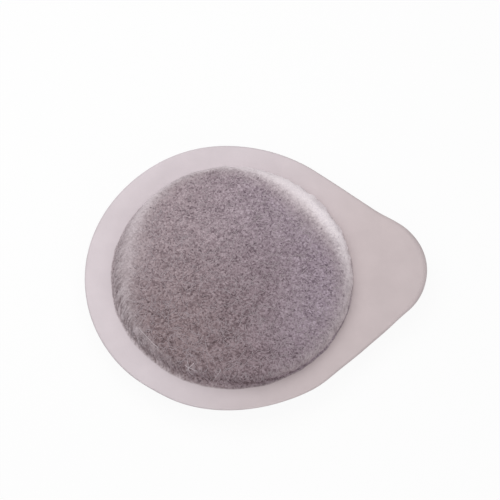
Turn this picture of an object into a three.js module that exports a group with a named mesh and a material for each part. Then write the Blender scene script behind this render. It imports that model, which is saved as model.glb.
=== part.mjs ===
// A paper coffee pod: a pressed disc of ground coffee sealed between two sheets of filter paper.
// Each sheet is pressed into a shallow round pocket whose wall gathers into pleats. The sheets meet
// in a flat rim, cut to a round outline with a pull tab on one side.
//
// Millimetres, +Z up. The origin is the centre of the flat underside that the pod lies on, and the
// tab points along +X.

import * as THREE from "three";

// Filter paper
const PAPER_THICKNESS = 0.15;

// Pocket pressed into each sheet
const POCKET_RADIUS = 22.5; // where the foot of the wall runs out into the rim
const UPPER_DEPTH = 4.5; // from the seam between the sheets to the pocket's outer face
const LOWER_DEPTH = 4.5;
const SHOULDER_RADIUS = 1.5; // outside of the bend between the flat face and the wall
const FOOT_RADIUS = 0.5; // outside of the bend between the wall and the rim
const WALL_DRAFT = THREE.MathUtils.degToRad(12); // lean of the wall from upright

// Gathers in the pocket's wall
const PLEAT_COUNT = 60;
const PLEAT_DEPTH = 0.15;

// Sealed rim and pull tab, which both sheets are cut to
const RIM_WIDTH = 4.5; // from the pocket to the round edge
const RIM_SHIFT_X = -0.3; // the cut sits a little off the pocket's centre
const RIM_SHIFT_Y = 0.45;
const TAB_LENGTH = 9.3; // from the round edge to the tip of the tab
const TAB_END_RADIUS = 11.2;

// Pressed coffee
const COFFEE_EDGE_RADIUS = 2;
const COFFEE_CLEARANCE = 0.3; // between the coffee and the valleys of the pleats

// Facets of the round stretches
const COLUMNS_PER_PLEAT = 2; // a ridge and a valley
const SHOULDER_STEPS = 4;
const FOOT_STEPS = 2;

// Sizes that follow from the ones above
const SEAM_HEIGHT = LOWER_DEPTH;
const COLUMNS = PLEAT_COUNT * COLUMNS_PER_PLEAT;
const RIM_RADIUS = POCKET_RADIUS + RIM_WIDTH;
const RIM_CENTRE = new THREE.Vector2(RIM_SHIFT_X, RIM_SHIFT_Y);
const TAB_OFFSET = RIM_RADIUS + TAB_LENGTH - TAB_END_RADIUS;
const TAB_CENTRE = new THREE.Vector2(RIM_CENTRE.x + TAB_OFFSET, RIM_CENTRE.y);
// The direction that the straight sides of the tab face, from the tab's own axis.
const TAB_SIDE_ANGLE = Math.acos((RIM_RADIUS - TAB_END_RADIUS) / TAB_OFFSET);
// In section the wall is a straight line. These are its distances from the pocket's centre on the
// seam, outside the paper and at the face of the coffee.
const WALL_LINE =
  POCKET_RADIUS * Math.cos(WALL_DRAFT) +
  (PAPER_THICKNESS + FOOT_RADIUS) * Math.sin(WALL_DRAFT) -
  FOOT_RADIUS;
const COFFEE_LINE = WALL_LINE - PAPER_THICKNESS - PLEAT_DEPTH - COFFEE_CLEARANCE;

const paperMaterial = new THREE.MeshStandardMaterial({
  color: 0xd3c8cb,
  roughness: 0.9,
  metalness: 0,
});
const coffeeMaterial = new THREE.MeshStandardMaterial({
  color: 0x3b2418,
  roughness: 0.95,
  metalness: 0,
});

// Radius at which a bend of this size, under a flat face at this height, turns into a leaning wall.
function flatRadius(wallLine, bendRadius, faceHeight) {
  const bendHeight = faceHeight - bendRadius;
  return (wallLine - bendRadius - bendHeight * Math.sin(WALL_DRAFT)) / Math.cos(WALL_DRAFT);
}

// The points of an arc from one angle round to another, the short way.
function arcPoints(centre, radius, startAngle, endAngle, steps) {
  const clockwise = endAngle < startAngle;
  const arc = new THREE.ArcCurve(centre.x, centre.y, radius, startAngle, endAngle, clockwise);
  return arc.getPoints(steps);
}

// Turns a section, drawn as radius and height, about the Z axis.
function turned(section) {
  return new THREE.LatheGeometry(section, COLUMNS).rotateX(Math.PI / 2);
}

// One face of a pressed sheet in section, from its centre out to the rim. The outer face has an
// inset of 0, and the inner face lies the paper's thickness within it.
function sheetFace(depth, inset) {
  const flat = flatRadius(WALL_LINE, SHOULDER_RADIUS, depth);
  const footHeight = PAPER_THICKNESS + FOOT_RADIUS;
  const shoulder = arcPoints(
    new THREE.Vector2(flat, depth - SHOULDER_RADIUS),
    SHOULDER_RADIUS - inset,
    Math.PI / 2,
    WALL_DRAFT,
    SHOULDER_STEPS,
  );
  const foot = arcPoints(
    new THREE.Vector2(POCKET_RADIUS, footHeight),
    FOOT_RADIUS + inset,
    Math.PI + WALL_DRAFT,
    1.5 * Math.PI,
    FOOT_STEPS,
  );
  return [
    new THREE.Vector2(0, depth - inset),
    ...shoulder,
    ...foot,
    new THREE.Vector2(RIM_RADIUS, PAPER_THICKNESS - inset),
  ];
}

// The point of the cut outline whose edge faces this direction. The outline runs like a belt around
// the rim's circle and the end of the tab.
function outlinePoint(direction) {
  const onTab = Math.abs(direction) < TAB_SIDE_ANGLE;
  const centre = onTab ? TAB_CENTRE : RIM_CENTRE;
  const radius = onTab ? TAB_END_RADIUS : RIM_RADIUS;
  return new THREE.Vector2(Math.cos(direction), Math.sin(direction)).multiplyScalar(radius).add(centre);
}

// Pulls the edge of a turned sheet out to the cut outline, and gathers its wall into pleats.
function cutAndPleat(geometry, depth) {
  const flat = flatRadius(WALL_LINE, SHOULDER_RADIUS, depth);
  const position = geometry.getAttribute("position");
  const point = new THREE.Vector2();
  for (let i = 0; i < position.count; i++) {
    point.set(position.getX(i), position.getY(i));
    const radius = point.length();
    const direction = Math.atan2(point.y, point.x);
    if (radius > POCKET_RADIUS + RIM_WIDTH / 2) {
      point.copy(outlinePoint(direction));
    } else if (radius > flat) {
      const downWall = (radius - flat) / (POCKET_RADIUS - flat);
      const valley = (1 - Math.cos(PLEAT_COUNT * direction)) / 2;
      point.setLength(radius - PLEAT_DEPTH * valley * Math.sin(Math.PI * downWall));
    }
    position.setXY(i, point.x, point.y);
  }
  return geometry;
}

// A sheet of filter paper, pressed upwards from the seam.
function pressedSheet(name, depth) {
  const outside = sheetFace(depth, 0);
  const inside = sheetFace(depth, PAPER_THICKNESS);
  const section = [...inside, ...outside.reverse()];
  const sheet = new THREE.Mesh(cutAndPleat(turned(section), depth), paperMaterial);
  sheet.name = name;
  return sheet;
}

// One half of the coffee in section, from its flat face to the seam, where it is widest.
function coffeeHalf(depth) {
  const height = depth - PAPER_THICKNESS;
  const flat = flatRadius(COFFEE_LINE, COFFEE_EDGE_RADIUS, height);
  const edge = arcPoints(
    new THREE.Vector2(flat, height - COFFEE_EDGE_RADIUS),
    COFFEE_EDGE_RADIUS,
    Math.PI / 2,
    WALL_DRAFT,
    SHOULDER_STEPS,
  );
  return [new THREE.Vector2(0, height), ...edge];
}

function coffeePuck() {
  const widest = new THREE.Vector2(COFFEE_LINE / Math.cos(WALL_DRAFT), 0);
  const underside = coffeeHalf(LOWER_DEPTH).map(({ x, y }) => new THREE.Vector2(x, -y));
  const section = [...underside, widest, ...coffeeHalf(UPPER_DEPTH).reverse()];
  const puck = new THREE.Mesh(turned(section), coffeeMaterial);
  puck.name = "coffee_puck";
  return puck;
}

const upperSheet = pressedSheet("upper_filter_paper", UPPER_DEPTH);
const lowerSheet = pressedSheet("lower_filter_paper", LOWER_DEPTH);
lowerSheet.scale.z = -1; // pressed downwards

// Everything is drawn from the seam, which lies above the underside.
const pod = new THREE.Group();
pod.position.z = SEAM_HEIGHT;
pod.add(upperSheet, coffeePuck(), lowerSheet);

const coffeePod = new THREE.Group();
coffeePod.add(pod);

export default coffeePod;
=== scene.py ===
# %% [markdown]
# # A paper coffee pod
# A single-serve coffee pod is a disc of pressed grounds between two sheets of filter paper. The
# frame holds three solids at their real size: an upper paper, a lower paper and the coffee. This
# lesson dresses them. The papers get their pleats, waves and fibres, and the grounds show through
# the paper wherever it touches them.

# %% Load the frame and keep its box
import math
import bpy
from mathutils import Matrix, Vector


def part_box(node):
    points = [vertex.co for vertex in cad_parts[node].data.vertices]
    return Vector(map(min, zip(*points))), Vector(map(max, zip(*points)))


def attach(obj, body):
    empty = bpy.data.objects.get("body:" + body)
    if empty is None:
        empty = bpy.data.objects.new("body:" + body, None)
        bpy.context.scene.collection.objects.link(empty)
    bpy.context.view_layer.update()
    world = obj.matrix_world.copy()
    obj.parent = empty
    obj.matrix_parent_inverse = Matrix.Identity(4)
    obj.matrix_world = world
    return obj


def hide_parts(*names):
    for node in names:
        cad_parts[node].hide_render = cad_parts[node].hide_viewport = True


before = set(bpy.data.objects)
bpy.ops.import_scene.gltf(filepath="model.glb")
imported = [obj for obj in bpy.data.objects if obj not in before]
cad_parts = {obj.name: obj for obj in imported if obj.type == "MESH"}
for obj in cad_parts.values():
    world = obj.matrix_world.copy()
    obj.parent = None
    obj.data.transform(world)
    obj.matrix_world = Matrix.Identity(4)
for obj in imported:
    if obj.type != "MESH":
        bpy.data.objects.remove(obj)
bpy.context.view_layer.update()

from types import SimpleNamespace

import bpy
from mathutils import Vector

MM = 0.001
scene = bpy.context.scene
print("nodes in the frame:", sorted(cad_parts))

# %% [markdown]
# ## Sizes
# The boxes of the three solids already say most of the sizes: how deep the pockets are, where the
# papers meet, how wide the rim is and how far the tab reaches. Reading them from the frame keeps the
# dressed pod and the solids together. The few sizes that a box can't show are written out here.

# %% Sizes of the pod
upper_low, upper_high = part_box("upper_filter_paper")
lower_low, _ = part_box("lower_filter_paper")
coffee_low, coffee_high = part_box("coffee_puck")

SEAM_HEIGHT = upper_low.z
UPPER_DEPTH = upper_high.z - SEAM_HEIGHT
LOWER_DEPTH = SEAM_HEIGHT - lower_low.z
RIM_RADIUS = (upper_high.y - upper_low.y) / 2
RIM_CENTRE_X = upper_low.x + RIM_RADIUS
RIM_CENTRE_Y = (upper_high.y + upper_low.y) / 2
TAB_END_RADIUS = 11.2 * MM
TAB_OFFSET = upper_high.x - RIM_CENTRE_X - TAB_END_RADIUS
POCKET_RADIUS = 22.5 * MM
PAPER_THICKNESS = 0.15 * MM
WALL_LEAN = math.radians(12)
print(f"rim radius {RIM_RADIUS / MM:.2f} mm, pocket depth {UPPER_DEPTH / MM:.2f} mm")

# %% [markdown]
# ## Camera
# The photograph looks down on the pod from the front, at about 65 degrees above the table. A long
# lens from over half a metre away keeps the round pocket from looking stretched. The camera is aimed
# beside the pod's rim, so that the pod lies left of the middle and a little below it, with no lens
# shift that other views would have to carry.

# %% Camera
VIEW_AZIMUTH = math.radians(-2.4)
VIEW_ELEVATION = math.radians(64.7)
VIEW_DISTANCE = 600 * MM
IMAGE_PIXELS = 500
PIXELS_PER_MM = 5.416
RIM_CENTRE_PIXEL = (230.6, 275.7)
SENSOR_WIDTH = 36
CLIP_START = 10 * MM

view_right = Vector((math.cos(VIEW_AZIMUTH), math.sin(VIEW_AZIMUTH), 0))
view_back = Vector((
    math.sin(VIEW_AZIMUTH) * math.cos(VIEW_ELEVATION),
    -math.cos(VIEW_AZIMUTH) * math.cos(VIEW_ELEVATION),
    math.sin(VIEW_ELEVATION),
))
view_up = view_back.cross(view_right)
aim_right = (IMAGE_PIXELS / 2 - RIM_CENTRE_PIXEL[0]) / PIXELS_PER_MM * MM
aim_up = (RIM_CENTRE_PIXEL[1] - IMAGE_PIXELS / 2) / PIXELS_PER_MM * MM
aim = Vector((RIM_CENTRE_X, RIM_CENTRE_Y, SEAM_HEIGHT)) + view_right * aim_right + view_up * aim_up

camera_data = bpy.data.cameras.new("camera")
camera_data.sensor_width = SENSOR_WIDTH
camera_data.lens = SENSOR_WIDTH * PIXELS_PER_MM * (VIEW_DISTANCE / MM) / IMAGE_PIXELS
camera_data.clip_start = CLIP_START
camera = bpy.data.objects.new("camera", camera_data)
camera.location = aim + view_back * VIEW_DISTANCE
camera.rotation_euler = (math.pi / 2 - VIEW_ELEVATION, 0, VIEW_AZIMUTH)
scene.collection.objects.link(camera)
scene.camera = camera
print(f"lens {camera_data.lens:.0f} mm")

# %% [markdown]
# ## Writing sums as nodes
# Both the shapes and the finishes below are node trees, and most of their nodes are plain sums. Set
# up one by one they would bury the idea, so a small class lets Python's own signs add the Math nodes.
# A Math node is the same in a shape tree and in a finish, so one helper serves both.

# %% Node helpers
class Number:
    """A number inside a node tree. Sums with it add Math nodes to that tree."""

    def __init__(self, tree, socket):
        self.tree = tree
        self.socket = socket


def plug(tree, socket, value):
    """Links an input to another node's output, or sets it to a plain value."""
    source = getattr(value, "socket", value)
    if isinstance(source, bpy.types.NodeSocket):
        tree.links.new(source, socket)
    else:
        socket.default_value = source


def add_node(tree, kind, inputs=None, **settings):
    """Adds a node, changes its settings and fills its inputs, which are named or counted."""
    made = tree.nodes.new(kind)
    for name, value in settings.items():
        setattr(made, name, value)
    for key, value in (inputs or {}).items():
        plug(tree, made.inputs[key], value)
    return made


def calc(operation, *terms):
    """One Math node."""
    tree = next(term.tree for term in terms if isinstance(term, Number))
    made = add_node(tree, "ShaderNodeMath", dict(enumerate(terms)), operation=operation)
    return Number(tree, made.outputs[0])


def sign_method(operation, swapped):
    """What one of Python's signs does with a Number."""

    def method(self, other):
        terms = (other, self) if swapped else (self, other)
        return calc(operation, *terms)

    return method


SIGNS = {"add": "ADD", "sub": "SUBTRACT", "mul": "MULTIPLY", "truediv": "DIVIDE"}
for sign, operation in SIGNS.items():
    setattr(Number, f"__{sign}__", sign_method(operation, False))
    setattr(Number, f"__r{sign}__", sign_method(operation, True))


def step(value, start, end, interpolation="LINEAR"):
    """Goes from 0 at start to 1 at end, and stays there."""
    limits = {"Value": value, "From Min": start, "From Max": end}
    made = add_node(value.tree, "ShaderNodeMapRange", limits, interpolation_type=interpolation)
    return Number(value.tree, made.outputs[0])


def soft_step(value, start, end):
    """A step that starts and stops gently."""
    return step(value, start, end, "SMOOTHSTEP")


def mix(first, second, share):
    """The first number at a share of 0, the second at 1."""
    return first + (second - first) * share


def point(tree, x, y, z):
    """Three numbers as one vector."""
    return add_node(tree, "ShaderNodeCombineXYZ", {0: x, 1: y, 2: z}).outputs[0]


def parts_of(tree, vector):
    """The three numbers of a vector."""
    made = add_node(tree, "ShaderNodeSeparateXYZ", {0: vector})
    return [Number(tree, output) for output in made.outputs]


def noise(tree, vector, feature_size, detail=2.0, roughness=0.5):
    """Cloudy noise from 0 to 1, with blobs about as wide as the feature size."""
    inputs = {"Vector": vector, "Scale": 1 / feature_size, "Detail": detail, "Roughness": roughness}
    return Number(tree, add_node(tree, "ShaderNodeTexNoise", inputs).outputs[0])


print("signs that add nodes:", ", ".join(SIGNS.values()))

# %% [markdown]
# ## Running a shape tree
# A Geometry Nodes tree lives on a modifier, and its sizes are inputs of that modifier. A finished
# piece has to be a plain mesh, though, because instances and live modifiers are lost when the model
# is handed on. So each tree ends by realizing its instances and setting its material, and its result
# is copied into a mesh of its own before the modifier is taken off.

# %% Shape tree helpers
SOCKET_KINDS = {
    float: "NodeSocketFloat",
    int: "NodeSocketInt",
    bpy.types.Mesh: "NodeSocketGeometry",
    bpy.types.Material: "NodeSocketMaterial",
}


def new_shape_tree(name, inputs):
    """A Geometry Nodes tree with named inputs of these kinds, given back by name."""
    tree = bpy.data.node_groups.new(name, "GeometryNodeTree")
    tree.interface.new_socket("Geometry", in_out="OUTPUT", socket_type="NodeSocketGeometry")
    for label, kind in inputs.items():
        tree.interface.new_socket(label, in_out="INPUT", socket_type=SOCKET_KINDS[kind])
    entry = tree.nodes.new("NodeGroupInput")
    given = {}
    for label, kind in inputs.items():
        socket = entry.outputs[label]
        given[label] = Number(tree, socket) if kind in (float, int) else socket
    return tree, given


def end_shape_tree(tree, geometry, material):
    """The last nodes of every shape tree."""
    realized = add_node(tree, "GeometryNodeRealizeInstances", {"Geometry": geometry})
    inputs = {"Geometry": realized.outputs[0], "Material": material}
    finished = add_node(tree, "GeometryNodeSetMaterial", inputs)
    add_node(tree, "NodeGroupOutput", {0: finished.outputs[0]})


def to_plain_mesh(piece):
    """Turns what a piece's modifiers make of it into its own mesh, and takes them off."""
    depsgraph = bpy.context.evaluated_depsgraph_get()
    evaluated = piece.evaluated_get(depsgraph)
    made = bpy.data.meshes.new_from_object(evaluated, preserve_all_data_layers=True, depsgraph=depsgraph)
    made.name = piece.name
    piece.modifiers.clear()
    piece.data = made
    return piece


def run_shape_tree(name, tree, values, mesh=None):
    """A new piece with what the tree makes, on its own or from a mesh."""
    piece = bpy.data.objects.new(name, mesh or bpy.data.meshes.new(name))
    scene.collection.objects.link(piece)
    modifier = piece.modifiers.new(name, "NODES")
    modifier.node_group = tree
    for item in tree.interface.items_tree:
        if item.name in values:
            modifier[item.identifier] = values[item.name]
    return to_plain_mesh(piece)


def triangles(piece):
    """How many triangles a piece has."""
    return sum(len(face.vertices) - 2 for face in piece.data.polygons)


print("kinds of input:", len(SOCKET_KINDS))

# %% [markdown]
# ## Ground coffee as a pattern
# Grounds show in two finishes: on the coffee itself, and through the paper that lies on it. Both need
# the same thing, a scatter of small grains, some dark and some pale, gathered into clouds. A shader
# node group makes that once. Voronoi cells give each grain one shade of its own, noise breaks up the
# straight borders of the cells, and a wider noise makes the clouds.

# %% Ground coffee pattern
GRAIN_SIZE = 0.31 * MM
CLOUD_SIZE = 2.6 * MM
GRAIN_RAGGEDNESS = 0.2 * MM
BURNT_SHARE = 0.004

# How much each part of the pattern adds to a grain's shade.
CELL_SHADE = 0.5
FINE_SHADE = 0.8
CLOUD_SHADE = 0.42
DARKENING = 0.36
BURNT_DARKENING = 0.5


def new_pattern(name, outputs):
    """A shader node group that makes these outputs from a place."""
    tree = bpy.data.node_groups.new(name, "ShaderNodeTree")
    tree.interface.new_socket("Vector", in_out="INPUT", socket_type="NodeSocketVector")
    for label in outputs:
        tree.interface.new_socket(label, in_out="OUTPUT", socket_type="NodeSocketFloat")
    place = tree.nodes.new("NodeGroupInput").outputs["Vector"]
    return tree, place, tree.nodes.new("NodeGroupOutput")


def coffee_grains_pattern():
    tree, place, leave = new_pattern("coffee_grains", ["Shade", "Height"])
    ragged = add_node(tree, "ShaderNodeTexNoise", {"Vector": place, "Scale": 1 / GRAIN_RAGGEDNESS})
    shift = add_node(
        tree,
        "ShaderNodeVectorMath",
        {0: ragged.outputs["Color"], 1: (GRAIN_RAGGEDNESS,) * 3, 2: place},
        operation="MULTIPLY_ADD",
    )
    cells = add_node(tree, "ShaderNodeTexVoronoi", {"Vector": shift.outputs[0], "Scale": 1 / GRAIN_SIZE})
    grain_shade, grain_luck, _ = parts_of(tree, cells.outputs["Color"])
    fine = noise(tree, place, GRAIN_SIZE, 2.0, 0.6)
    cloud = noise(tree, place, CLOUD_SIZE, 2.0, 0.5)
    burnt = step(grain_luck, 1 - BURNT_SHARE, 1 - BURNT_SHARE / 2)
    shade = grain_shade * CELL_SHADE + fine * FINE_SHADE + cloud * CLOUD_SHADE - DARKENING
    plug(tree, leave.inputs["Shade"], shade - burnt * BURNT_DARKENING)
    plug(tree, leave.inputs["Height"], 1 - Number(tree, cells.outputs["Distance"]))
    return tree


coffee_grains = coffee_grains_pattern()
print("pattern:", coffee_grains.name)

# %% [markdown]
# ## Filter paper as a pattern
# Filter paper is a felt of fibres, a little thicker here and thinner there. Held to the light it looks
# cloudy, and its surface is finely rough. Two noises are enough for that: a wide one for the clouds
# and a fine one for the tooth of the surface. The papers and the loose fibres on them both use it.

# %% Filter paper pattern
PULP_CLOUD_SIZE = 5 * MM
PULP_TOOTH_SIZE = 0.3 * MM


def paper_pulp_pattern():
    tree, place, leave = new_pattern("paper_pulp", ["Cloud", "Tooth"])
    plug(tree, leave.inputs["Cloud"], noise(tree, place, PULP_CLOUD_SIZE, 3.0, 0.55))
    plug(tree, leave.inputs["Tooth"], noise(tree, place, PULP_TOOTH_SIZE, 3.0, 0.6))
    return tree


paper_pulp = paper_pulp_pattern()
print("pattern:", paper_pulp.name)

# %% [markdown]
# ## The filter paper's finish
# White paper over dark grounds is the main thing to get right. Where the paper lies on the coffee, the
# grounds show through as a greyed, blurred brown. Where it stands off, it scatters the light and looks
# white again, with a cool lilac in between. Real see-through paper would need the light to be traced
# through it. So the shape tree stores three numbers for each point of the paper, and the finish mixes
# its colours by them, with some light and shade painted in. The first, contact, says how closely the
# coffee touches: 0 where the paper is clear of it, 1 where it touches, and more where shade is painted
# into the crease at the foot. Painted shade in the valleys of the pleats adds to it too. The second,
# looseness, says how blurred and pale the grounds are, and towards the back it also paints light that
# falls off from the back. The third, airiness, says how much light comes through the paper from
# behind, painted as whiter paper.

# %% Finish helpers
def colour_steps(tree, value, steps):
    """A Color Ramp through these places and colours."""
    ramp = add_node(tree, "ShaderNodeValToRGB", {0: value})
    elements = ramp.color_ramp.elements
    while len(elements) < len(steps):
        elements.new(0.5)
    for element, (place, colour) in zip(elements, steps):
        element.position = place
        element.color = colour
    return ramp.outputs["Color"]


def mix_colours(tree, share, first, second, blend="MIX"):
    """The first colour at a share of 0, the second at 1."""
    inputs = {0: share, 6: first, 7: second}
    made = add_node(tree, "ShaderNodeMix", inputs, data_type="RGBA", blend_type=blend)
    return made.outputs[2]


def new_finish(name):
    """A material, with its tree, its shader and the place of each point of the surface."""
    material = bpy.data.materials.new(name)
    material.use_nodes = True
    tree = material.node_tree
    shader = tree.nodes["Principled BSDF"]
    place = tree.nodes.new("ShaderNodeTexCoord").outputs["Object"]
    return material, tree, shader, place


def use_pattern(tree, pattern, place):
    """Puts a pattern into a finish, and gives its outputs by name."""
    used = add_node(tree, "ShaderNodeGroup", node_tree=pattern)
    plug(tree, used.inputs["Vector"], place)
    return {output.name: Number(tree, output) for output in used.outputs}


def bump(tree, shader, height, distance, strength):
    """Makes a surface rough to the light by a height from 0 to 1."""
    inputs = {"Height": height, "Distance": distance, "Strength": strength}
    made = add_node(tree, "ShaderNodeBump", inputs)
    plug(tree, shader.inputs["Normal"], made.outputs[0])


def stored(tree, name):
    """A number that the press stored for each point of the paper."""
    return Number(tree, add_node(tree, "ShaderNodeAttribute", attribute_name=name).outputs["Fac"])


print("patterns for the finishes:", coffee_grains.name, "and", paper_pulp.name)

# %% Filter paper finish
WHITE = (1, 1, 1, 1)
PAPER_WHITE = (0.70, 0.625, 0.655, 1)
# The next colour is the paper with painted shade: darker and a little warmer, where the light falls off
# towards the tab and the front.
PAPER_WARM_PAINTED_SHADE = (0.635, 0.547, 0.553, 1)
PAPER_AIRY = (0.96, 0.88, 0.90, 1)
PAPER_SHADED = (0.43, 0.36, 0.375, 1)
GROUNDS_WARM_TINT = (1.06, 1.03, 1.0, 1)
GROUNDS_COOL_TINT = (1.06, 1.05, 1.12, 1)
CREASE_SHADE = (0.44, 0.4, 0.38, 1)

# Colours by steps, each a place from 0 to 1 and the colour there.
TIGHT_GROUNDS = [
    (0.1, (0.075, 0.05, 0.055, 1)),
    (0.5, (0.215, 0.161, 0.174, 1)),
    (0.9, (0.37, 0.297, 0.317, 1)),
]
# Paler grounds: for paper that lies loose, and for painted light towards the back.
LOOSE_AND_PAINTED_LIGHT_GROUNDS = [
    (0.1, (0.12, 0.09, 0.108, 1)),
    (0.5, (0.305, 0.244, 0.273, 1)),
    (0.9, (0.49, 0.413, 0.453, 1)),
]
PULP_CLOUDS = [(0.3, (0.94, 0.94, 0.94, 1)), (0.7, WHITE)]
AIRY_MOTTLES = [(0.35, (0.84, 0.83, 0.86, 1)), (0.65, WHITE)]

# Where a mix starts and where it is complete: along the pod, or by contact.
TINT_REACH = (-14 * MM, 18 * MM)
# The painted shade of the bare paper, along the pod and leaning to the front.
PAINTED_FALLOFF_REACH = (-10 * MM, 26 * MM)
PAINTED_FALLOFF_SLANT = 0.35
SHADED_CONTACT = (0.0, 0.6)
GROUNDS_CONTACT = (0.1, 0.95)
CREASED_CONTACT = (1.0, 1.5)

SPECKLE = 0.35
WALL_STRETCH = (1, 1, 0.65)
PAPER_ROUGHNESS = 0.82
PAPER_ROUGHNESS_SPREAD = 0.15
PAPER_SPECULAR = 0.25
TOOTH_HEIGHT = 0.02 * MM
TOOTH_STRENGTH = 0.6


def filter_paper_finish():
    material, tree, shader, place = new_finish("filter_paper")
    pulp = use_pattern(tree, paper_pulp, place)
    stretched = add_node(tree, "ShaderNodeVectorMath", {0: place, 1: WALL_STRETCH}, operation="MULTIPLY")
    grounds = use_pattern(tree, coffee_grains, stretched.outputs[0])
    along, across, _ = parts_of(tree, place)

    # The grounds as they show through, from warm on the left to cool on the side of the tab.
    tight = colour_steps(tree, grounds["Shade"], TIGHT_GROUNDS)
    loose = colour_steps(tree, grounds["Shade"], LOOSE_AND_PAINTED_LIGHT_GROUNDS)
    # Paler where the paper lies loose and, as painted light, towards the back.
    shown = mix_colours(tree, stored(tree, "looseness"), tight, loose)
    tint = mix_colours(tree, soft_step(along, *TINT_REACH), GROUNDS_WARM_TINT, GROUNDS_COOL_TINT)
    shown = mix_colours(tree, 1.0, shown, tint, "MULTIPLY")

    # The bare paper, with painted shade that makes it darker and a little warmer towards the tab and the
    # front where the light falls off, and painted whitest where light comes through it.
    airiness = stored(tree, "airiness")
    painted_falloff = soft_step(along - across * PAINTED_FALLOFF_SLANT, *PAINTED_FALLOFF_REACH)
    paper = mix_colours(tree, painted_falloff, PAPER_WHITE, PAPER_WARM_PAINTED_SHADE)
    paper = mix_colours(tree, airiness, paper, PAPER_AIRY)

    # Halfway between clear and touching, the dark grains show before the pale ones.
    contact = stored(tree, "contact")
    halfway = calc("MAXIMUM", contact * (1 - contact) * 4, 0)
    speckled = contact + (0.5 - grounds["Shade"]) * halfway * SPECKLE
    standing_off = mix_colours(tree, step(speckled, *SHADED_CONTACT), paper, PAPER_SHADED)
    colour = mix_colours(tree, step(speckled, *GROUNDS_CONTACT), standing_off, shown)
    # Painted shade in the creases, where the contact goes past 1.
    painted_crease_shade = mix_colours(tree, step(contact, *CREASED_CONTACT), WHITE, CREASE_SHADE)
    colour = mix_colours(tree, 1.0, colour, painted_crease_shade, "MULTIPLY")

    # The felt of the paper over all of it.
    clouds = colour_steps(tree, pulp["Cloud"], PULP_CLOUDS)
    colour = mix_colours(tree, 1.0, colour, clouds, "MULTIPLY")
    mottles = colour_steps(tree, pulp["Tooth"], AIRY_MOTTLES)
    colour = mix_colours(tree, airiness, colour, mottles, "MULTIPLY")
    plug(tree, shader.inputs["Base Color"], colour)
    plug(tree, shader.inputs["Roughness"], PAPER_ROUGHNESS + pulp["Tooth"] * PAPER_ROUGHNESS_SPREAD)
    shader.inputs["Specular IOR Level"].default_value = PAPER_SPECULAR
    bump(tree, shader, pulp["Tooth"], TOOTH_HEIGHT, TOOTH_STRENGTH)
    return material


filter_paper = filter_paper_finish()
print("finish:", filter_paper.name, "with", len(filter_paper.node_tree.nodes), "nodes")

# %% [markdown]
# ## The pressed papers
# Each paper starts as a flat sheet. A press pushes a round pocket into it, and the paper that is left
# over gathers into small pleats down the pocket's wall. One could turn a section round an axis, but
# that leaves a pole of thin slivers in the middle of the flat face. Here a square grid is wrapped into
# a disc instead: its nested squares become rings, with no pole and no seam.
#
# Each ring then takes its place along the pressed section: across the flat face, round the shoulder,
# down the wall, round the foot and out along the rim. Because every step is a sum in the tree, the
# shoulder can be crisp on one side and soft on the other, as the photograph shows, where the grounds
# have settled to the front left and left the back right of the pocket slack.

# %% A grid wrapped into a disc
FACE_RINGS = 72
SHOULDER_RINGS = 10
WALL_RINGS = 9
FOOT_RINGS = 5
RIM_RINGS = 12
STRETCH_RINGS = (FACE_RINGS, SHOULDER_RINGS, WALL_RINGS, FOOT_RINGS, RIM_RINGS)


def wrapped_grid(tree, rings):
    """A square grid, with the ring that each point lies on and the direction that it lies in."""
    count = rings * 2 + 1
    inputs = {"Size X": 2, "Size Y": 2, "Vertices X": count, "Vertices Y": count}
    grid = add_node(tree, "GeometryNodeMeshGrid", inputs).outputs["Mesh"]
    across, along, _ = parts_of(tree, tree.nodes.new("GeometryNodeInputPosition").outputs[0])
    wide = calc("GREATER_THAN", calc("ABSOLUTE", across), calc("ABSOLUTE", along))
    reach = mix(along, across, wide)
    eighth = math.pi / 4
    angle = mix(math.pi / 2 - across / along * eighth, along / across * eighth, wide)
    ring = calc("ABSOLUTE", reach) * rings
    turn = calc(
        "ARCTAN2",
        calc("SINE", angle) * calc("SIGN", reach),
        calc("COSINE", angle) * calc("SIGN", reach),
    )
    return grid, ring, turn


print("rings of one paper:", sum(STRETCH_RINGS))

# %% [markdown]
# The section of the pocket has five stretches, and each one counts as 1 on the way from the centre to
# the cut edge: 0 to 1 is the flat face, then come the shoulder, the wall, the foot and the rim. A
# place along the section is written in that count below. What changes round the pod is a side: a
# direction in degrees, counted from the tab, and how narrow the side is. The wall, for one, stands
# almost upright at the front right and slopes at the left.

# %% Section of the pocket
CRISP_SHOULDER = 1.5 * MM
SOFT_SHOULDER = 3.0 * MM
FOOT_BEND = 0.25 * MM
SOFT_FOOT_BEND = 0.9 * MM
SOFT_FOOT_SIDE = (-108, 5.0)
UPRIGHT_SIDE = (-45, 2.5)
UPRIGHT_LEAN = math.radians(11)
SLOPING_SIDE = (185, 4.0)
SLOPING_LEAN = math.radians(8)

# Sides with a soft shoulder: a direction, how soft it is there, and how narrow the side is.
SOFT_SIDES = [(28, 1.0, 1.5), (190, 0.9, 2.0)]


def side(turn, direction, narrowness):
    """1 on the side of the pod that faces a direction, falling off smoothly round it."""
    return calc("EXPONENT", (calc("COSINE", turn - math.radians(direction)) - 1) * narrowness)


def add_sides(turn, sides):
    """The sum of some sides, each with its direction, its amount there and its narrowness."""
    total = 0 * turn
    for direction, amount, narrowness in sides:
        total = total + side(turn, direction, narrowness) * amount
    return total


def stretches_passed(ring):
    """How far each ring has come along each stretch of the section, from 0 to 1."""
    start = 0
    stretches = []
    for count in STRETCH_RINGS:
        stretches.append(step(ring, start, start + count))
        start += count
    return stretches


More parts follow.
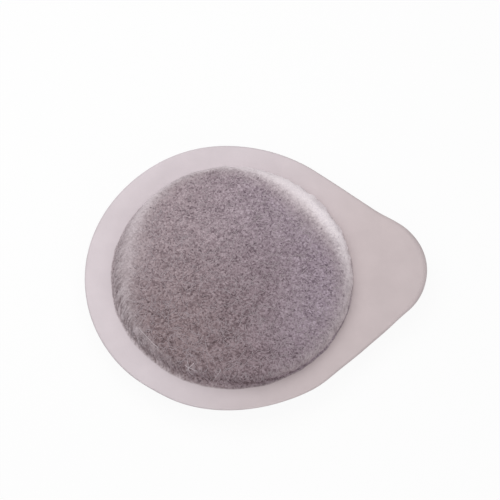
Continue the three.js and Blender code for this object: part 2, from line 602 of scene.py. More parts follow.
def pocket_walk(size, turn, stretches):
    """How far out and how far down each ring lies, and how soft the shoulder is there."""
    face, shoulder, wall, foot, _ = stretches
    softness = add_sides(turn, SOFT_SIDES)
    shoulder_bend = mix(CRISP_SHOULDER, SOFT_SHOULDER, softness)
    foot_bend = mix(FOOT_BEND, SOFT_FOOT_BEND, side(turn, *SOFT_FOOT_SIDE))
    lean = size["Wall Lean"] - side(turn, *UPRIGHT_SIDE) * UPRIGHT_LEAN
    lean = lean + side(turn, *SLOPING_SIDE) * SLOPING_LEAN
    lean_out = calc("SINE", lean)
    lean_down = calc("COSINE", lean)
    wall_length = (size["Depth"] - size["Thickness"]) / lean_down - shoulder_bend - foot_bend
    bends_out = (shoulder_bend + foot_bend) * (lean_out + 1) + wall_length * lean_out
    face_radius = size["Pocket Radius"] - bends_out

    # A bend starts in one direction and ends in the other, in equal parts.
    shoulder_turned = shoulder * shoulder
    shoulder_ahead = shoulder * 2 - shoulder_turned
    foot_turned = foot * foot
    foot_ahead = foot * 2 - foot_turned
    out = (
        face * face_radius
        + (shoulder_ahead + shoulder_turned * lean_out) * shoulder_bend
        + wall * wall_length * lean_out
        + (foot_ahead * lean_out + foot_turned) * foot_bend
    )
    down = (shoulder_turned * shoulder_bend + wall * wall_length + foot_ahead * foot_bend) * lean_down
    return out, down, softness


print("shoulder from", CRISP_SHOULDER / MM, "to", SOFT_SHOULDER / MM, "mm")

# %% [markdown]
# Pressed paper has too much length round the wall, and it gathers there. On the left it makes fine
# slanting pleats. At the back right, where the grounds have sunk away, it bulges instead. Noise makes
# both: stretched down the wall it gives pleats of uneven width, and left as it is it gives bulges. The
# face is dented by the grounds beneath it, and sunk a little at the front right.

# %% Pleats, bulges and dents
PLEATED_SIDE = (200, 2.0)
PLEATED_SHARE = 0.8
PATCHY_SHARE = 0.4
PATCH_SIZE = 0.2
PATCH_LIMITS = (0.25, 0.6)
PLEAT_DEPTH = 0.3 * MM
PLEAT_WIDTH = 0.34 * MM
PLEAT_WANDER = 0.3 * MM
PLEAT_SLANT = 0.05
RIDGE_LIMITS = (0.4, 0.6)
SLACK_SIDE = (28, 2.0)
BULGE_SIZE = 2.2 * MM
BULGE_HEIGHT = 2.3 * MM
BULGE_MIDDLE = 0.55
FOOT_WANDER = 0.7 * MM
LUMP_SIZE = 4.5 * MM
LUMP_HEIGHT = 0.12 * MM
TIGHT_DENT = 0.5
SINK_SIDE = (-42, 2.5)
SINK_SHARE = 0.28
SINK_REACH = (9 * MM, 21 * MM)

# Places along the section: where something starts, is full, wanes and is gone.
GATHERED = (1.2, 2.3, 3.5, 4.2)
BULGING = (1.1, 1.9, 2.2, 3.6)
WANDERING = (2.2, 3.8)
DENTS_END = (2.0, 3.5)


def band(value, limits):
    """1 along a stretch with soft ends."""
    starts, full, wanes, gone = limits
    return soft_step(value, starts, full) * (1 - soft_step(value, wanes, gone))


def centred_noise(tree, vector, feature_size, detail=2.0, roughness=0.5):
    """Cloudy noise about zero."""
    return noise(tree, vector, feature_size, detail, roughness) - 0.5


def at_radius(spot, radius, third):
    """A place this far from the pod's middle, with a third number of its own."""
    return point(spot.tree, spot.cosine * radius, spot.sine * radius, third)


def add_pleats(spot):
    """Works out the pleats of each spot: how strong they are there, and how near it is to a ridge."""
    seed = spot.size["Seed"]
    spot.bearing = point(spot.tree, spot.cosine, spot.sine, seed)
    spot.pleated = side(spot.turn, *PLEATED_SIDE)
    patches = step(noise(spot.tree, spot.bearing, PATCH_SIZE), *PATCH_LIMITS)
    spot.strength = patches * PATCHY_SHARE + spot.pleated * PLEATED_SHARE
    spot.gathered = band(spot.section, GATHERED)
    pleat_turn = spot.turn - spot.section * PLEAT_SLANT
    on_foot_x = calc("COSINE", pleat_turn) * spot.size["Pocket Radius"]
    on_foot_y = calc("SINE", pleat_turn) * spot.size["Pocket Radius"]
    along_pleat = point(spot.tree, on_foot_x, on_foot_y, spot.section * PLEAT_WANDER + seed)
    spot.ridge = step(noise(spot.tree, along_pleat, PLEAT_WIDTH, 1.0), *RIDGE_LIMITS)


def pressed_radius(spot):
    """How far each spot lies from the pod's middle."""
    pleat = (spot.ridge - 1) * spot.gathered * spot.strength * PLEAT_DEPTH
    lump = noise(spot.tree, at_radius(spot, spot.out, spot.down), BULGE_SIZE) - BULGE_MIDDLE
    bulge = lump * spot.slack * band(spot.section, BULGING) * BULGE_HEIGHT
    wander = centred_noise(spot.tree, spot.bearing, PATCH_SIZE, 3.0)
    wander = wander * soft_step(spot.section, *WANDERING) * FOOT_WANDER
    return spot.out + pleat + bulge + wander


def pressed_height(spot):
    """How far each spot stands from the seam."""
    size = spot.size
    dent = noise(spot.tree, spot.flat_place, LUMP_SIZE, 3.0) * (spot.softness + TIGHT_DENT)
    dent = dent * (1 - soft_step(spot.section, *DENTS_END))
    sunk = side(spot.turn, *SINK_SIDE) * soft_step(spot.out, *SINK_REACH) * SINK_SHARE * size["Slack"]
    above_rim = size["Depth"] - size["Thickness"] - spot.down
    return size["Thickness"] + above_rim * (1 - sunk) - dent * LUMP_HEIGHT


print("pleats", PLEAT_DEPTH / MM, "mm deep, bulges up to", BULGE_HEIGHT / MM, "mm")

# %% [markdown]
# From the foot, the rim runs straight out to the cut edge. The cut follows a belt laid round two
# circles, the rim's and the tab's end. Real paper is neither quite flat nor cut quite true, so the
# edge lifts and strays a little in a few chosen directions, and a wave crosses the tab.

# %% Rim and tab
TAB_WAVE_LENGTH = 8 * MM
TAB_WAVE_HEIGHT = 0.2 * MM
TAB_WAVE_CREST = 31.2 * MM
TAB_WAVE_REACH = (23 * MM, 28 * MM)
RIPPLE_SIZE = 0.07
RIPPLE_HEIGHT = 0.22 * MM

# A direction, how many millimetres the edge lifts or strays there, and how narrow the place is.
RIM_LIFTS = [(106, 0.5, 14), (12, 0.7, 14), (-7, 0.5, 14), (-31, -0.8, 14), (-83, 0.55, 14)]
CUT_STRAYS = [
    (24, -0.35, 40),
    (65, -0.35, 5),
    (135, -0.25, 4),
    (236, -0.2, 80),
    (-56, 0.25, 60),
    (-36, 0.15, 60),
]


def outline_reach(turn, rim_radius, tab_offset, tab_radius):
    """How far the cut edge lies from the rim's centre: a belt round the rim and the tab's end."""
    bearing = calc("ABSOLUTE", turn)
    side_facing = calc("ARCCOSINE", (rim_radius - tab_radius) / tab_offset)
    tab_corner = calc(
        "ARCTAN2",
        tab_radius * calc("SINE", side_facing),
        tab_offset + tab_radius * calc("COSINE", side_facing),
    )
    on_straight = rim_radius / calc("COSINE", calc("MINIMUM", bearing, side_facing) - side_facing)
    across_tab = tab_offset * calc("SINE", calc("MINIMUM", bearing, tab_corner))
    past_centre = calc("SQRT", tab_radius * tab_radius - across_tab * across_tab)
    on_tab = tab_offset * calc("COSINE", bearing) + past_centre
    past_corner = calc("GREATER_THAN", bearing, tab_corner)
    return mix(on_tab, on_straight, past_corner)


def cut_edge(spot):
    """Where the cut edge lies in the direction of each spot."""
    size = spot.size
    reach = outline_reach(spot.turn, size["Rim Radius"], size["Tab Offset"], size["Tab End Radius"])
    reach = reach + add_sides(spot.turn, CUT_STRAYS) * MM
    return size["Rim Centre X"] + spot.cosine * reach, size["Rim Centre Y"] + spot.sine * reach


def rim_rise(spot, x, rim):
    """How far the rim rises from flat."""
    lift = add_sides(spot.turn, RIM_LIFTS) * MM
    wave_turn = (x - TAB_WAVE_CREST) * (2 * math.pi / TAB_WAVE_LENGTH)
    wave = calc("COSINE", wave_turn) * TAB_WAVE_HEIGHT * soft_step(x, *TAB_WAVE_REACH)
    rim_bearing = point(spot.tree, spot.cosine, spot.sine, 0)
    ripple = centred_noise(spot.tree, rim_bearing, RIPPLE_SIZE) * (1 - rim) * RIPPLE_HEIGHT
    return (lift * rim + wave + ripple) * rim


print("places where the cut strays:", len(CUT_STRAYS))

# %% [markdown]
# Now the numbers for the finish. The coffee touches the paper out to an edge, which lies further in
# wherever the grounds have slumped away. The change is short at a firm edge and wide at a slack one,
# and noise makes it ragged. The ridges of the pleats stand clear of the coffee. The valleys between
# them get painted shade, most where the coffee covers least, and painted shade also gathers in the
# crease at the foot of the wall.

# %% Where the coffee touches
COFFEE_EDGE = 23.2 * MM
EDGE_RAG = 1.8 * MM
EDGE_RAG_SIZE = 0.9 * MM
EDGE_SOFTNESS = 1.2 * MM

# A direction, how many millimetres the edge draws back or softens there, and how narrow the place is.
SLUMPS = [
    (39, 6.2, 3.2),
    (85, 0.7, 6.0),
    (-38, 1.1, 4.0),
    (155, 4.3, 3.0),
    (182, 1.5, 10.0),
    (226, 1.0, 9.0),
]
SLUMP_SPREADS = [(36, 2.2, 1.8), (-38, 1.3, 4.0), (172, 3.7, 4.0)]
HAZE_SIDE = (175, 5.0)
HAZE_SHARE = 0.37

RIDGE_CLEARANCE = 0.35
RIDGE_LOOSENESS = 1.4
VALLEY_SHADE = 0.55
VALLEY_SHADE_LIMIT = 1.1
POCKET_END = (3.75, 4.0)

# Painted shade in the crease at the foot, which climbs the wall on one side, and a pale crease on the
# shoulder.
FOOT_CREASE = (2.55, 3.15, 3.45, 4.05)
FOOT_CREASE_SIDE = (-45, 2.5)
FOOT_CREASE_SHARE = 0.5
FOOT_CREASE_EVERYWHERE = 0.08
RAISED_CREASE_SIDE = (-108, 6.0)
CREASE_RAISE = 0.8
BLOTCH_SIZE = 0.08
BLOTCH_LIMITS = (0.3, 0.6)
BLOTCH_SHARE = 0.6
SHOULDER_CREASE = (1.55, 1.68, 1.7, 1.84)
SHOULDER_CREASE_SIDE = (220, 30)
SHOULDER_CREASE_SHARE = 0.4

# The rise towards the back also paints light that falls off from the back.
LOOSE_AND_PAINTED_LIGHT_DIRECTION = math.radians(95)
LOOSE_AND_PAINTED_LIGHT_SLOPE = 1.0
LOOSE_MIDDLE = 0.45
LOOSE_FRONT_SIDE = (-35, 3.0)
LOOSE_FRONT_SHARE = 0.9
LOOSE_FRONT_REACH = (6 * MM, 18 * MM)
AIRY = (0.8, 1.2, 2.6, 3.4)


def coffee_cover(spot):
    """1 where the coffee lies behind the paper, 0 where it has slumped away."""
    coffee_edge = COFFEE_EDGE - add_sides(spot.turn, SLUMPS) * MM * spot.size["Slack"]
    softness = EDGE_SOFTNESS + add_sides(spot.turn, SLUMP_SPREADS) * MM
    rag = centred_noise(spot.tree, spot.flat_place, EDGE_RAG_SIZE, 3.0, 0.65) * EDGE_RAG
    past_edge = spot.out + rag - coffee_edge
    haze = side(spot.turn, *HAZE_SIDE) * HAZE_SHARE
    return calc("MAXIMUM", 1 - soft_step(past_edge, softness * -1, softness), haze)


def painted_foot_shade(spot):
    """How dark the painted shade in the crease at the foot is."""
    climbed = spot.section + side(spot.turn, *RAISED_CREASE_SIDE) * CREASE_RAISE
    # The painted shade comes in patches along the foot.
    patches = step(noise(spot.tree, spot.bearing, BLOTCH_SIZE), *BLOTCH_LIMITS)
    blotches = patches * BLOTCH_SHARE + (1 - BLOTCH_SHARE)
    share = FOOT_CREASE_EVERYWHERE + side(spot.turn, *FOOT_CREASE_SIDE) * FOOT_CREASE_SHARE
    return band(climbed, FOOT_CREASE) * blotches * share


def coffee_contact(spot):
    """How closely the coffee touches the paper."""
    covered = coffee_cover(spot)
    shoulder_crease = band(spot.section, SHOULDER_CREASE) * side(spot.turn, *SHOULDER_CREASE_SIDE)
    contact = covered * (1 - spot.ridges * RIDGE_CLEARANCE)
    contact = contact * (1 - shoulder_crease * SHOULDER_CREASE_SHARE)
    # Painted shade in the valleys of the pleats, strongest where the coffee covers least.
    valleys = (1 - spot.ridge) * spot.gathered * spot.pleated
    painted_valley_shade = valleys * (VALLEY_SHADE_LIMIT - covered) * VALLEY_SHADE
    within_pocket = 1 - soft_step(spot.section, *POCKET_END)
    return (contact + painted_foot_shade(spot) + painted_valley_shade) * within_pocket


def paper_looseness(spot):
    """How loosely the paper lies on the grounds, which pales them: more at the front right, and more
    towards the back, where the paler grounds are also painted light falling off from the back.
    """
    # Paler towards the back: looser paper, and painted light that falls off from the back.
    towards_back_painted_light = calc("COSINE", spot.turn - LOOSE_AND_PAINTED_LIGHT_DIRECTION) * spot.out / spot.size["Pocket Radius"]
    front = side(spot.turn, *LOOSE_FRONT_SIDE) * soft_step(spot.out, *LOOSE_FRONT_REACH)
    on_face = LOOSE_MIDDLE + towards_back_painted_light * LOOSE_AND_PAINTED_LIGHT_SLOPE + front * LOOSE_FRONT_SHARE
    return step(on_face, 0, 1) + spot.ridges * RIDGE_LOOSENESS


print("places where the coffee has slumped:", len(SLUMPS))

# %% [markdown]
# The press puts these together. Its sizes are named inputs, so that one tree makes both papers. The
# numbers for the finish are stored while the grid is still flat, because every sum starts from it, and
# the points are moved last.

# %% The press
PRESS_SIZES = [
    "Depth",
    "Thickness",
    "Pocket Radius",
    "Wall Lean",
    "Rim Radius",
    "Rim Centre X",
    "Rim Centre Y",
    "Tab Offset",
    "Tab End Radius",
    "Seam Height",
    "Upwards",
    "Slack",
    "Seed",
]


def pressed_spot(tree, size, turn, stretches):
    """All that the press works out about each spot of the paper."""
    spot = SimpleNamespace(tree=tree, size=size, turn=turn)
    spot.cosine = calc("COSINE", turn)
    spot.sine = calc("SINE", turn)
    spot.section = sum(stretches[1:], stretches[0])
    spot.slack = side(turn, *SLACK_SIDE) * size["Slack"]
    spot.out, spot.down, spot.softness = pocket_walk(size, turn, stretches)
    add_pleats(spot)
    spot.ridges = spot.ridge * spot.gathered * spot.strength
    spot.radius = pressed_radius(spot)
    spot.flat_place = at_radius(spot, spot.radius, size["Seed"])
    return spot


def pressed_place(spot, rim):
    """Where the press puts each spot."""
    edge_x, edge_y = cut_edge(spot)
    x = mix(spot.cosine * spot.radius, edge_x, rim)
    y = mix(spot.sine * spot.radius, edge_y, rim)
    height = pressed_height(spot) * spot.size["Upwards"]
    return point(spot.tree, x, y, spot.size["Seam Height"] + height + rim_rise(spot, x, rim))


def pressed_paper_tree():
    inputs = {label: float for label in PRESS_SIZES}
    tree, size = new_shape_tree("pressed_filter_paper", {**inputs, "Material": bpy.types.Material})
    sheet, ring, turn = wrapped_grid(tree, sum(STRETCH_RINGS))
    stretches = stretches_passed(ring)
    spot = pressed_spot(tree, size, turn, stretches)
    numbers = {
        "contact": coffee_contact(spot),
        "looseness": paper_looseness(spot),
        "airiness": spot.slack * band(spot.section, AIRY),
    }
    for label, value in numbers.items():
        inputs = {"Geometry": sheet, "Name": label, "Value": value}
        named = add_node(tree, "GeometryNodeStoreNamedAttribute", inputs, data_type="FLOAT", domain="POINT")
        sheet = named.outputs[0]
    pressed = {"Geometry": sheet, "Position": pressed_place(spot, stretches[-1])}
    placed = add_node(tree, "GeometryNodeSetPosition", pressed)
    downwards = calc("LESS_THAN", size["Upwards"], 0)
    outwards = {"Mesh": placed.outputs[0], "Selection": downwards}
    turned_out = add_node(tree, "GeometryNodeFlipFaces", outwards)
    smooth = add_node(tree, "GeometryNodeSetShadeSmooth", {"Geometry": turned_out.outputs[0]})
    end_shape_tree(tree, smooth.outputs[0], size["Material"])
    return tree


pressed_paper = pressed_paper_tree()
print("press:", len(pressed_paper.nodes), "nodes")

# %% [markdown]
# Both papers come from the same press, one upwards and one downwards, with a gap much thinner than a hair
# between their rims so that the two faces don't flicker through each other. The lower paper lies on the
# table under the weight of the grounds, so it has less slack. Both stay thin for now, because the
# fibres below are scattered over one face only.

# %% The two papers, still without thickness
SEAL_GAP = 0.005 * MM
UPPER_SLACK = 1.0
LOWER_SLACK = 0.3
UPPER_SEED = 0.0
LOWER_SEED = 7.0


def press(name, depth, upwards, slack, seed):
    values = {
        "Depth": depth,
        "Thickness": PAPER_THICKNESS,
        "Pocket Radius": POCKET_RADIUS,
        "Wall Lean": WALL_LEAN,
        "Rim Radius": RIM_RADIUS,
        "Rim Centre X": RIM_CENTRE_X,
        "Rim Centre Y": RIM_CENTRE_Y,
        "Tab Offset": TAB_OFFSET,
        "Tab End Radius": TAB_END_RADIUS,
        "Seam Height": SEAM_HEIGHT + SEAL_GAP * upwards,
        "Upwards": upwards,
        "Slack": slack,
        "Seed": seed,
        "Material": filter_paper,
    }
    return run_shape_tree(name, pressed_paper, values)


upper_paper = press("upper_paper", UPPER_DEPTH - SEAL_GAP, 1.0, UPPER_SLACK, UPPER_SEED)
lower_paper = press("lower_paper", LOWER_DEPTH - SEAL_GAP, -1.0, LOWER_SLACK, LOWER_SEED)
print("faces of one paper:", len(upper_paper.data.polygons))

# %% [markdown]
# ## Fibres
# Filter paper is felted from long plant fibres, and many of them lie loose on its face. Over the dark
# grounds they show as fine pale threads. Drawing them in the finish would make flat scratches, so they
# are real threads: a tree scatters points over a paper, lays a short line at each point, turns it any
# way, bends it by noise and pulls it back onto the paper, and gives it a thickness.

# %% Finish of the fibres
FIBRE_OVER_GROUNDS = (0.46, 0.39, 0.42, 1)
FIBRE_SHADES = [(0.3, (0.8, 0.8, 0.8, 1)), (0.7, WHITE)]
FIBRE_ROUGHNESS = 0.75
FIBRE_ROUGHNESS_SPREAD = 0.2


def paper_fibre_finish():
    material, tree, shader, place = new_finish("paper_fibre")
    pulp = use_pattern(tree, paper_pulp, place)
    colour = mix_colours(tree, stored(tree, "contact"), PAPER_WHITE, FIBRE_OVER_GROUNDS)
    shades = colour_steps(tree, pulp["Tooth"], FIBRE_SHADES)
    plug(tree, shader.inputs["Base Color"], mix_colours(tree, 1.0, colour, shades, "MULTIPLY"))
    plug(tree, shader.inputs["Roughness"], FIBRE_ROUGHNESS + pulp["Tooth"] * FIBRE_ROUGHNESS_SPREAD)
    shader.inputs["Specular IOR Level"].default_value = PAPER_SPECULAR
    return material


paper_fibre = paper_fibre_finish()
print("finish:", paper_fibre.name)

# %% One fibre at each point
FIBRE_POINTS = 6
FIBRE_CONTACT = (0.0, 0.8)
ABOVE_RIM = (1.0 * MM, 1.5 * MM)
ABOVE_WALL = (3.2 * MM, 4.0 * MM)
WALL_SPREAD = 0.25
SHORTEST_SHARE = 0.4
LENGTH_RANGE = 1.7
LENGTH_POWER = 3.0


def random_value(tree, low, high, seed):
    """A number between two limits for each point."""
    inputs = {2: low, 3: high, "Seed": seed}
    made = add_node(tree, "FunctionNodeRandomValue", inputs, data_type="FLOAT")
    return Number(tree, made.outputs[1])


def scatter_points(tree, size):
    """Points over the coffee, twice as dense on the wall, and 1 for each one that lies there."""
    contact = add_node(tree, "GeometryNodeInputNamedAttribute", {"Name": "contact"}, data_type="FLOAT")
    touching = Number(tree, contact.outputs["Attribute"])
    height = parts_of(tree, tree.nodes.new("GeometryNodeInputPosition").outputs[0])[2]
    above_seam = calc("ABSOLUTE", height - size["Seam Height"])
    on_wall = 1 - step(above_seam, *ABOVE_WALL)
    wanted = step(touching, *FIBRE_CONTACT) * step(above_seam, *ABOVE_RIM) * (1 + on_wall)
    scattered = add_node(
        tree,
        "GeometryNodeDistributePointsOnFaces",
        {"Mesh": size["Paper"], "Density": size["Density"] * wanted, "Seed": size["Seed"]},
    )
    return scattered, on_wall


def lie_any_way(tree, size, scattered, spread):
    """A turn for each point: flat on the paper and any way, but near to upright on the wall."""
    any_way = add_node(
        tree,
        "FunctionNodeAxisAngleToRotation",
        {"Axis": (0, 0, 1), "Angle": random_value(tree, -math.pi, math.pi, size["Seed"] + 1) * spread},
    )
    up_the_wall = add_node(
        tree,
        "FunctionNodeAlignRotationToVector",
        {"Rotation": scattered.outputs["Rotation"], "Vector": (0, 0, 1)},
        axis="X",
        pivot_axis="Z",
    )
    lying = add_node(
        tree,
        "FunctionNodeRotateRotation",
        {0: up_the_wall.outputs[0], 1: any_way.outputs[0]},
        rotation_space="LOCAL",
    )
    return lying.outputs[0]


def lay_threads(tree, size):
    """A straight thread at each point, most of them short."""
    scattered, on_wall = scatter_points(tree, size)
    half_length = size["Length"] * 0.5
    line_ends = {"Start": point(tree, half_length * -1, 0, 0), "End": point(tree, half_length, 0, 0)}
    line = add_node(tree, "GeometryNodeCurvePrimitiveLine", line_ends)
    thread = add_node(tree, "GeometryNodeResampleCurve", {"Curve": line.outputs[0], "Count": FIBRE_POINTS})
    spread = mix(1.0, WALL_SPREAD, on_wall)
    luck = calc("POWER", random_value(tree, 0.0, 1.0, size["Seed"] + 2), LENGTH_POWER)
    laid = add_node(
        tree,
        "GeometryNodeInstanceOnPoints",
        {
            "Points": scattered.outputs["Points"],
            "Instance": thread.outputs[0],
            "Rotation": lie_any_way(tree, size, scattered, spread),
            "Scale": luck * LENGTH_RANGE * spread + SHORTEST_SHARE,
        },
    )
    return add_node(tree, "GeometryNodeRealizeInstances", {"Geometry": laid.outputs[0]}).outputs[0]


print("points of one fibre:", FIBRE_POINTS)

# %% Fibres on a paper
FIBRE_COUNT = 5200
FIBRE_LENGTH = 1.7 * MM
FIBRE_RADIUS = 0.04 * MM
FIBRE_SIDES = 3
FIBRE_BEND_SIZE = 1.6 * MM
FIBRE_BEND = 1.4 * MM
UPPER_FIBRE_SEED = 3
LOWER_FIBRE_SEED = 4


def bend_onto_paper(tree, size, threads):
    """Bends threads by noise, and pulls them back onto the paper."""
    place = tree.nodes.new("GeometryNodeInputPosition").outputs[0]
    blobs = {"Vector": place, "Scale": 1 / FIBRE_BEND_SIZE, "Detail": 1.0}
    push = add_node(tree, "ShaderNodeTexNoise", blobs)
    centred = add_node(
        tree,
        "ShaderNodeVectorMath",
        {0: push.outputs["Color"], 1: (0.5, 0.5, 0.5)},
        operation="SUBTRACT",
    )
    bent_place = add_node(
        tree,
        "ShaderNodeVectorMath",
        {0: centred.outputs[0], 1: (FIBRE_BEND,) * 3, 2: place},
        operation="MULTIPLY_ADD",
    )
    nearest = add_node(
        tree,
        "GeometryNodeProximity",
        {"Geometry": size["Paper"], "Sample Position": bent_place.outputs[0]},
        target_element="FACES",
    )
    on_paper = {"Geometry": threads, "Position": nearest.outputs["Position"]}
    return add_node(tree, "GeometryNodeSetPosition", on_paper).outputs[0]


def fibre_tree():
    tree, size = new_shape_tree(
        "paper_fibres",
        {
            "Paper": bpy.types.Mesh,
            "Seam Height": float,
            "Density": float,
            "Length": float,
            "Radius": float,
            "Seed": int,
            "Material": bpy.types.Material,
        },
    )
    bent = bend_onto_paper(tree, size, lay_threads(tree, size))
    ring = {"Resolution": FIBRE_SIDES, "Radius": size["Radius"]}
    section = add_node(tree, "GeometryNodeCurvePrimitiveCircle", ring)
    round_threads = add_node(
        tree,
        "GeometryNodeCurveToMesh",
        {"Curve": bent, "Profile Curve": section.outputs[0], "Fill Caps": True},
    )
    smooth = add_node(tree, "GeometryNodeSetShadeSmooth", {"Geometry": round_threads.outputs[0]})
    end_shape_tree(tree, smooth.outputs[0], size["Material"])
    return tree


paper_fibres = fibre_tree()


def lay_fibres(paper, seed):
    """A piece with the loose fibres of one paper."""
    area = sum(face.area for face in paper.data.polygons)
    values = {
        "Seam Height": SEAM_HEIGHT,
        "Density": FIBRE_COUNT / area,
        "Length": FIBRE_LENGTH,
        "Radius": FIBRE_RADIUS,
        "Seed": seed,
        "Material": paper_fibre,
    }
    fibres = run_shape_tree(paper.name + "_fibres", paper_fibres, values, paper.data.copy())
    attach(fibres, "root")
    print(fibres.name, "has", triangles(fibres), "triangles")


lay_fibres(upper_paper, UPPER_FIBRE_SEED)
lay_fibres(lower_paper, LOWER_FIBRE_SEED)

# %% [markdown]
# A few fibres are long enough to be seen one by one, near the front edge. They are listed, so they
# are plain curves instead: each one is a line between two places, and its points are moved to the
# nearest place on the paper.

# %% Long fibres near the front edge
STRAND_RADIUS = 0.055 * MM
STRAND_POINTS = 10

# The two ends of each strand, as x, y and height above the seam in millimetres.
STRANDS = [
    ((-4.6, -21.9, 1.2), (-2.9, -20.2, 4.2)),
    ((-9.8, -19.3, 3.6), (-7.4, -20.2, 3.2)),
    ((-9.0, -18.4, 4.4), (-8.5, -21.0, 1.8)),
    ((-9.9, -20.4, 2.2), (-7.7, -18.6, 4.3)),
    ((-17.8, -11.3, 4.0), (-14.4, -15.6, 4.0)),
]


def long_fibres(paper, strands):
    """One piece with every strand, laid on the paper."""
    curve = bpy.data.curves.new("long_fibres", "CURVE")
    curve.dimensions = "3D"
    curve.bevel_depth = STRAND_RADIUS
    curve.bevel_resolution = 0
    curve.use_fill_caps = True
    for first, last in strands:
        spline = curve.splines.new("POLY")
        spline.points.add(STRAND_POINTS - 1)
        for index, end in enumerate(spline.points):
            share = index / (STRAND_POINTS - 1)
            guess = Vector(first).lerp(Vector(last), share) * MM + Vector((0, 0, SEAM_HEIGHT))
            _, on_paper, _, _ = paper.closest_point_on_mesh(guess)
            end.co = (*on_paper, 1)
    piece = bpy.data.objects.new("long_fibres", curve)
    scene.collection.objects.link(piece)
    return piece


strand_curve = long_fibres(upper_paper, STRANDS)
depsgraph = bpy.context.evaluated_depsgraph_get()
strand_mesh = bpy.data.meshes.new_from_object(strand_curve.evaluated_get(depsgraph))
bpy.data.objects.remove(strand_curve)
strand_mesh.materials.append(paper_fibre)
strands_piece = bpy.data.objects.new("long_fibres", strand_mesh)
scene.collection.objects.link(strands_piece)
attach(strands_piece, "root")
print(strands_piece.name, "has", triangles(strands_piece), "triangles")

# %% [markdown]
# ## The coffee
# Inside lies the dose itself: about seven grams of grounds, pressed into a disc. Only its face against
# the paper can ever be seen, so it is a rounded core with a crust of grains on it. The core is the same
# wrapped grid as the papers, once for the top and once for the bottom, and the grains are small rough
# lumps that a tree scatters over it. It keeps clear of the papers, and it is drawn back on the side
# where the paper hangs slack.

# %% Finish of the coffee
COFFEE_SHADES = [
    (0.15, (0.012, 0.005, 0.003, 1)),
    (0.5, (0.044, 0.018, 0.009, 1)),
    (0.9, (0.13, 0.062, 0.033, 1)),
]
COFFEE_ROUGHNESS = 0.7
COFFEE_ROUGHNESS_SPREAD = 0.25
GRAIN_BUMP = 0.12 * MM
GRAIN_BUMP_STRENGTH = 0.8


def ground_coffee_finish():
    material, tree, shader, place = new_finish("ground_coffee")
    grounds = use_pattern(tree, coffee_grains, place)
    plug(tree, shader.inputs["Base Color"], colour_steps(tree, grounds["Shade"], COFFEE_SHADES))
    plug(tree, shader.inputs["Roughness"], COFFEE_ROUGHNESS + grounds["Height"] * COFFEE_ROUGHNESS_SPREAD)
    bump(tree, shader, grounds["Height"], GRAIN_BUMP, GRAIN_BUMP_STRENGTH)
    return material


ground_coffee = ground_coffee_finish()
print("finish:", ground_coffee.name)

# %% The disc of grounds
CORE_RINGS = 36
CORE_INSET = 0.75 * MM
CORE_SQUARENESS = 12
CORE_SLUMP = 1.6 * MM
CORE_SLUMP_SIDE = (39, 1.5)
CORE_SINK_REACH = (8 * MM, 20 * MM)
MERGE_DISTANCE = 0.001 * MM
GRAIN_COUNT = 4200
GRAIN_RADIUS = 0.42 * MM
SMALLEST_GRAIN = 0.35
GRAIN_SEED = 5


def coffee_half(tree, size, upwards):
    """One half of the core, from the middle of its face to its widest ring."""
    grid, ring, turn = wrapped_grid(tree, CORE_RINGS)
    slumped = side(turn, *CORE_SLUMP_SIDE) * CORE_SLUMP
    share = calc("SINE", ring * (math.pi / 2 / CORE_RINGS))
    radius = share * (size["Radius"] - slumped)
    flatness = calc("SQRT", 1 - calc("POWER", calc("MINIMUM", share, 1.0), CORE_SQUARENESS))
    slack = UPPER_SLACK if upwards > 0 else LOWER_SLACK
    sunk = side(turn, *SINK_SIDE) * soft_step(radius, *CORE_SINK_REACH) * (SINK_SHARE * slack)
    height = flatness * size["Half Height"] * (1 - sunk) * upwards
    place = point(tree, calc("COSINE", turn) * radius, calc("SINE", turn) * radius, height + size["Middle"])
    moved = add_node(tree, "GeometryNodeSetPosition", {"Geometry": grid, "Position": place})
    if upwards > 0:
        return moved.outputs[0]
    return add_node(tree, "GeometryNodeFlipFaces", {"Mesh": moved.outputs[0]}).outputs[0]


def coffee_tree():
    tree, size = new_shape_tree(
        "ground_coffee",
        {
            "Radius": float,
            "Half Height": float,
            "Middle": float,
            "Grain Radius": float,
            "Grain Density": float,
            "Seed": int,
            "Material": bpy.types.Material,
        },
    )
    joined = tree.nodes.new("GeometryNodeJoinGeometry")
    for upwards in (1, -1):
        plug(tree, joined.inputs[0], Number(tree, coffee_half(tree, size, upwards)))
    halves = {"Geometry": joined.outputs[0], "Distance": MERGE_DISTANCE}
    closed = add_node(tree, "GeometryNodeMergeByDistance", halves)
    core = add_node(tree, "GeometryNodeSetShadeSmooth", {"Geometry": closed.outputs[0]})
    scattered = add_node(
        tree,
        "GeometryNodeDistributePointsOnFaces",
        {"Mesh": core.outputs[0], "Density": size["Grain Density"], "Seed": size["Seed"]},
    )
    grain = add_node(tree, "GeometryNodeMeshIcoSphere", {"Radius": size["Grain Radius"], "Subdivisions": 1})
    turned = add_node(
        tree,
        "FunctionNodeRandomValue",
        {0: (0, 0, 0), 1: (2 * math.pi,) * 3, "Seed": size["Seed"] + 1},
        data_type="FLOAT_VECTOR",
    )
    scaled = add_node(
        tree,
        "FunctionNodeRandomValue",
        {0: (SMALLEST_GRAIN,) * 3, 1: (1, 1, 1), "Seed": size["Seed"] + 2},
        data_type="FLOAT_VECTOR",
    )
    grains = add_node(
        tree,
        "GeometryNodeInstanceOnPoints",
        {
            "Points": scattered.outputs["Points"],
            "Instance": grain.outputs[0],
            "Rotation": turned.outputs[0],
            "Scale": scaled.outputs[0],
        },
    )
    both = tree.nodes.new("GeometryNodeJoinGeometry")
    for part in (core, grains):
        tree.links.new(part.outputs[0], both.inputs[0])
    end_shape_tree(tree, both.outputs[0], size["Material"])
    return tree


